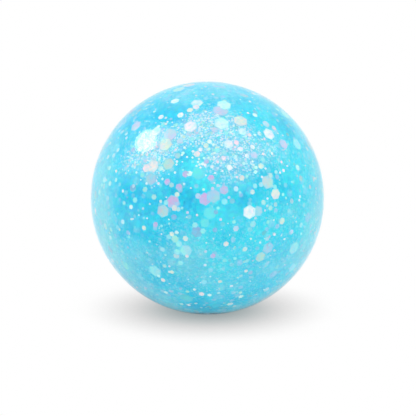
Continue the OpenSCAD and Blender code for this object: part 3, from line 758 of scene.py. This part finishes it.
SMALL_SEEN = {
    "pearl": [(206, 111.5, 2.6), (217, 115, 3), (227, 129, 2.2), (193, 151.5, 2.6), (213.5, 144.5, 2.4),
              (222, 145, 2.6), (202, 136.5, 2), (245, 136.5, 2.2), (214.5, 153, 2.4), (208.5, 158, 2.4),
              (214, 157, 2), (218.5, 156.5, 2), (198, 162, 2.2), (199.5, 164.5, 2.4), (202.5, 164, 2.8),
              (205, 165, 2.8), (196.5, 166, 2), (231, 163, 2), (200.5, 167.5, 2), (215, 173, 1.8), (222.5, 171, 2),
              (199, 159, 1.8), (192.5, 157.5, 1.8), (272, 153.5, 2.6), (252.5, 161.5, 2.2), (253.5, 165, 2.4),
              (136.5, 172.5, 2.2), (146.5, 183.5, 2.4), (158.5, 183.5, 2.6), (175, 172.5, 2.2), (177, 161.5, 2.4),
              (176.5, 164.5, 2), (184.5, 147.5, 2.4), (265.5, 168.5, 2.2), (280, 172.5, 2.2), (262, 177, 2.4),
              (126.5, 134, 3.2), (126.5, 138, 3), (300, 196.5, 2.4), (267.5, 198.5, 2.2), (274.5, 234.5, 2.6),
              (143, 152.5, 3), (141, 150, 2.4), (187, 157, 2), (182, 155, 2), (194.5, 289.5, 3), (188.5, 305, 4),
              (231.5, 286, 3)],
    "blush": [(235, 147, 2.4), (217.5, 162, 2.6), (237, 177, 2.2), (197, 215, 2.2), (263, 154, 2.4),
              (281.5, 162, 2.4), (283.5, 170.5, 3), (264.5, 139, 2.4), (166, 124, 2.6), (248, 113, 2.4),
              (201.5, 294, 5)],
    "lavender": [(188, 134, 3.4), (197, 133, 3), (143, 208.5, 2.4), (187.5, 212.5, 2.6), (229, 197.5, 2.6),
                 (265, 210.5, 2.2), (255.5, 218, 2.4), (205.5, 251.5, 2.6), (269.5, 236.5, 2.4), (212.5, 188.5, 3),
                 (218, 185.5, 2.8), (133.5, 186, 3.4)],
    "mint": [(183, 153, 3), (209, 149, 3), (204, 158, 2.2), (235.5, 157, 3), (256, 167.5, 3.4), (255.5, 172, 3.4),
             (244, 163.5, 3), (162.5, 179, 2.4), (184, 184, 2.4), (154.5, 111.5, 3), (203.5, 189.5, 2.6),
             (255, 135, 3), (166, 292.5, 4), (187.5, 291.5, 3.6), (218.5, 293, 3), (234.5, 306, 3.4),
             (181.5, 304, 3.6), (196, 303.5, 3), (240.5, 292.5, 3.4), (158.5, 276, 3.4)],
    "aqua": [(192, 139, 4.4), (198, 138, 3.6), (182, 208, 2.6), (161.5, 226, 2.6), (218, 208, 3), (234, 222, 3.4),
             (235, 258.5, 3), (240, 192.5, 2.6), (283, 194.5, 3), (286, 198, 2.4), (268, 222, 3.4), (276, 172, 3.6),
             (303.5, 186.5, 3), (234, 248.5, 2.6), (269, 245, 2.6)],
}
PX_MM = BALL_R / MM / BALL_RADIUS_PX


def placed(spots, radius):
    """Middles, widths and tints of the listed flakes, from (x, y, width) in pixels, grouped by tint."""
    pixels = np.array([spot for group in spots.values() for spot in group])
    tints = [linear(FILM_TINTS[name]) for name, group in spots.items() for spot in group]
    return seen_at(pixels[:, :2], radius), pixels[:, 2] * PX_MM * MM, np.array(tints)


for size, seen in {"large": LARGE_SEEN, "medium": MEDIUM_SEEN, "small": SMALL_SEEN}.items():
    print(sum(map(len, seen.values())), size, "flakes placed by eye")

# %% [markdown]
# The rest are spread over the whole ball at random, denser in a few drifts, as real glitter settles. The drifts are
# the stronger pale clouds, and the wider and stronger one is, the more flakes are drawn round it.

# %% Flakes spread at random
PORT_CLEAR_R, PORT_CLEAR_TOP = 8.6 * MM, 7 * MM
FRONT = 0.35
LEAST_DRIFT, DRIFT_SCATTER = 0.45, 0.4
DEPTH_POWER = 1.3
THINNED_IN_DEEP = 0.9
SUNK_BY_DEPTH, SUNK_LOW_DOWN, MOST_SUNK = 0.65, 0.7, 0.85
drifts, drift_radii, drift_share = clouds["pale"]
drift_odds = (drift_radii * np.clip(drift_share - LEAST_DRIFT, 0, 1)) ** 2
drift_odds /= drift_odds.sum()


def spread(count, shallow, deep, in_drifts, in_front):
    """Random middles between two radii, more of them near the shallow one. A share of them is drawn round the drifts,
    those at the port are left out, and few are kept in the deep clouds. Of those that face the camera only the share
    in_front is kept, to leave the listed flakes room."""
    at_random = unit(chance.normal(size=(count, 3)))
    home = chance.choice(len(drifts), size=count, p=drift_odds)
    scatter = DRIFT_SCATTER * drift_radii[home, None] * chance.normal(size=(count, 3))
    near_drift = unit(drifts[home] - CENTRE + scatter)
    direction = np.where(chance.random((count, 1)) < in_drifts, near_drift, at_random)
    radius = shallow - (shallow - deep) * chance.random((count, 1)) ** DEPTH_POWER
    middles = CENTRE + direction * radius
    at_port = (np.hypot(middles[:, 0], middles[:, 1]) < PORT_CLEAR_R) & (middles[:, 2] < PORT_CLEAR_TOP)
    in_way = (direction @ unit(eye - CENTRE) > FRONT) & (chance.random(count) > in_front)
    in_deep = chance.random(count) < THINNED_IN_DEEP * cloud_share(middles, "deep")
    return middles[~at_port & ~in_way & ~in_deep]


def mixed_tints(count, weights):
    """Random tints, in the given proportions."""
    palette = np.array([linear(FILM_TINTS[name]) for name in weights])
    odds = np.array(list(weights.values()), float)
    return palette[chance.choice(len(palette), size=count, p=odds / odds.sum())]


def sunk(tints, middles, shallow, deep):
    """Tints mixed towards the gel's own colour with depth, and more so low down, which dims the flakes towards the
    bottom.
    """
    depth = (shallow - np.linalg.norm(middles - CENTRE, axis=1, keepdims=True)) / (shallow - deep)
    low = (CENTRE[2] - middles[:, 2:]) / BALL_R
    share = np.clip(SUNK_BY_DEPTH * np.clip(depth, 0, 1) + SUNK_LOW_DOWN * np.clip(low, 0, 1), 0, MOST_SUNK)
    return tints * (1 - share) + np.array(MURK_TINT) * share


def tilted(middles, degrees):
    """Directions that face out of the ball, each leaning at random by about that many degrees."""
    return unit(unit(middles - CENTRE) + chance.normal(scale=np.tan(np.radians(degrees)), size=middles.shape))


print((drift_odds > 0).sum(), "drifts")

# %% [markdown]
# Glitter of this kind is often cut to 1/8, 1/16 and 1/32 inch. These are the large, medium and small flakes, and
# four-sided dust hangs between them. Dust finer than a pixel of the picture would not show, so it is drawn 0.4 mm
# wide. Of the listed flakes, the small ones hang nearest the skin and the large ones deepest, so that a small one
# shows in front of a large one. The random ones hang behind them all.

# %% Glitter of each size
LARGE_W, MEDIUM_W, SMALL_W, DUST_W = 3.2 * MM, 1.6 * MM, 0.8 * MM, 0.4 * MM
LEAST_WIDTH = 0.6
SHALLOW_R, DEEP_R = GEL_R - 0.55 * MM, GEL_R - 0.85 * MM
WHITES = {"pearl": 2, "cream": 3, "blush": 1, "lavender": 2, "celadon": 2, "aqua": 5, "turquoise": 4}
SPARKS = {"pearl": 8, "blush": 2, "lavender": 1, "mint": 1, "aqua": 2}
PASTELS = {"pearl": 2, "cream": 3, "khaki": 1, "blush": 1, "orchid": 1, "lavender": 2, "periwinkle": 2, "grey": 1,
           "mint": 2, "aqua": 4, "turquoise": 2}


def glitter(name, node_name, width, count, seen, near, palette, deep, tilt, in_front, in_drifts, sides, rings):
    """A size of glitter: the listed flakes first, at the radius near and with half the tilt, then the random
    ones, of which each is between the least share of the width and all of it."""
    middles = spread(count, SHALLOW_R, deep, in_drifts, in_front)
    tints = sunk(mixed_tints(len(middles), palette), middles, SHALLOW_R, DEEP_R)
    widths = width * chance.uniform(LEAST_WIDTH, 1.0, len(middles))
    facing = tilted(middles, tilt)
    if seen:
        eye_middles, eye_widths, eye_tints = placed(seen, near)
        facing = np.vstack([tilted(eye_middles, tilt / 2), facing])
        middles = np.vstack([eye_middles, middles])
        widths = np.concatenate([eye_widths, widths])
        tints = np.vstack([eye_tints, tints])
    piece = flakes(name, middles, facing, widths, tints, sides, rings)
    if node_name:
        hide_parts(node_name)
    return piece


large = glitter(
    "large_glitter", "large_flakes", LARGE_W, count=90, seen=LARGE_SEEN, near=GEL_R - 0.35 * MM,
    palette=PASTELS, deep=DEEP_R, tilt=5, in_front=0.0, in_drifts=0.3, sides=6, rings=SOFT_RINGS,
)
medium = glitter(
    "medium_glitter", "medium_flakes", MEDIUM_W, count=420, seen=MEDIUM_SEEN, near=GEL_R - 0.25 * MM,
    palette=PASTELS, deep=DEEP_R, tilt=8, in_front=0.45, in_drifts=0.4, sides=6, rings=SOFT_RINGS,
)
small = glitter(
    "small_glitter", "small_flakes", SMALL_W, count=1500, seen=SMALL_SEEN, near=GEL_R - 0.15 * MM,
    palette=WHITES, deep=GEL_R - 0.62 * MM, tilt=8, in_front=0.45, in_drifts=0.35, sides=6, rings=CRISP_RINGS,
)
dust = glitter(
    "glitter_dust", None, DUST_W, count=2800, seen=None, near=None,
    palette=SPARKS, deep=GEL_R - 0.6 * MM, tilt=10, in_front=1.0, in_drifts=0.82, sides=4, rings=PLAIN_RINGS,
)

# %% [markdown]
# Inside the capsule, the rigid pieces keep the shapes of the construction and only get finishes. Each is a plain
# material with a slight unevenness: a fine noise moves its colour between two close tones and its roughness a little.

# %% Finishes of the light capsule
FINISHES = {
    "plug_rubber": dict(tones=("#B4DCEA", "#98CEE2"), grain_mm=1.5, rough=(0.2, 0.35), clear=0.5),
    "clear_styrene": dict(tones=("#F4FAFC", "#E3F0F4"), grain_mm=3, rough=(0.05, 0.12), clear=0.9),
    "seal_rubber": dict(tones=("#2E3236", "#3C4146"), grain_mm=0.5, rough=(0.6, 0.8)),
    "green_board": dict(tones=("#14603A", "#1D7A4A"), grain_mm=1.2, rough=(0.35, 0.5)),
    "red_lens": dict(tones=("#D92B26", "#F0483F"), grain_mm=2, rough=(0.08, 0.15), clear=0.5),
    "green_lens": dict(tones=("#2FB04A", "#4FD06A"), grain_mm=2, rough=(0.08, 0.15), clear=0.5),
    "blue_lens": dict(tones=("#2B56D9", "#4A78F0"), grain_mm=2, rough=(0.08, 0.15), clear=0.5),
    "tinned_wire": dict(tones=("#C6C6C2", "#DEDEDA"), grain_mm=0.4, rough=(0.25, 0.4), metal=1),
    "black_ceramic": dict(tones=("#1C1D1F", "#2A2B2E"), grain_mm=0.3, rough=(0.45, 0.6)),
    "black_epoxy": dict(tones=("#0E0E10", "#1A1A1D"), grain_mm=0.8, rough=(0.12, 0.25)),
    "cell_steel": dict(tones=("#B9BABC", "#D6D7D9"), grain_mm=0.5, rough=(0.2, 0.35), metal=1),
    "blue_sleeve": dict(tones=("#24508F", "#3568B0"), grain_mm=1, rough=(0.25, 0.4)),
    "contact_brass": dict(tones=("#C9A44C", "#E0BE6A"), grain_mm=0.4, rough=(0.22, 0.38), metal=1),
    "contact_steel": dict(tones=("#B4B4B0", "#D2D2CE"), grain_mm=0.5, rough=(0.25, 0.4), metal=1),
    "spring_brass": dict(tones=("#D2B25A", "#EACB7C"), grain_mm=0.3, rough=(0.18, 0.3), metal=1),
}


def rigid_finish(name, tones, grain_mm, rough, metal=0, clear=0):
    """A material whose colour and roughness follow one fine noise."""
    made, tree, place = new_material(name)
    grain = node(tree, "ShaderNodeTexNoise", {"Vector": place, "Scale": per_mm(grain_mm), "Detail": 3.0})
    colour = node(tree, "ShaderNodeMix", {
        0: grain.outputs["Fac"], 6: linear(tones[0]), 7: linear(tones[1]),
    }, data_type="RGBA")
    uneven = node(tree, "ShaderNodeMapRange", {
        "Value": grain.outputs["Fac"], "To Min": rough[0], "To Max": rough[1],
    })
    shader = node(tree, "ShaderNodeBsdfPrincipled", {
        "Base Color": colour.outputs[2], "Roughness": uneven.outputs["Result"], "Metallic": metal,
        "Transmission Weight": clear,
    })
    node(tree, "ShaderNodeOutputMaterial", {"Surface": shader.outputs[0]})
    return made


made_finishes = {name: rigid_finish(name, **look) for name, look in FINISHES.items()}
dressed = [row for row in frame["record"]["subparts"] if row["material_slot"] in made_finishes]
for row in dressed:
    frame["nodes"][row["node"]].material_slots[0].material = made_finishes[row["material_slot"]]
print(len(dressed), "rigid pieces dressed with", len(made_finishes), "finishes")

# %% [markdown]
# The skin, the gel and the glitter each get a mesh of their own, not shared with any other object.

# %% Meshes of the soft pieces
for piece in (skin, gel, large, medium, small, dust):
    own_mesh(piece)
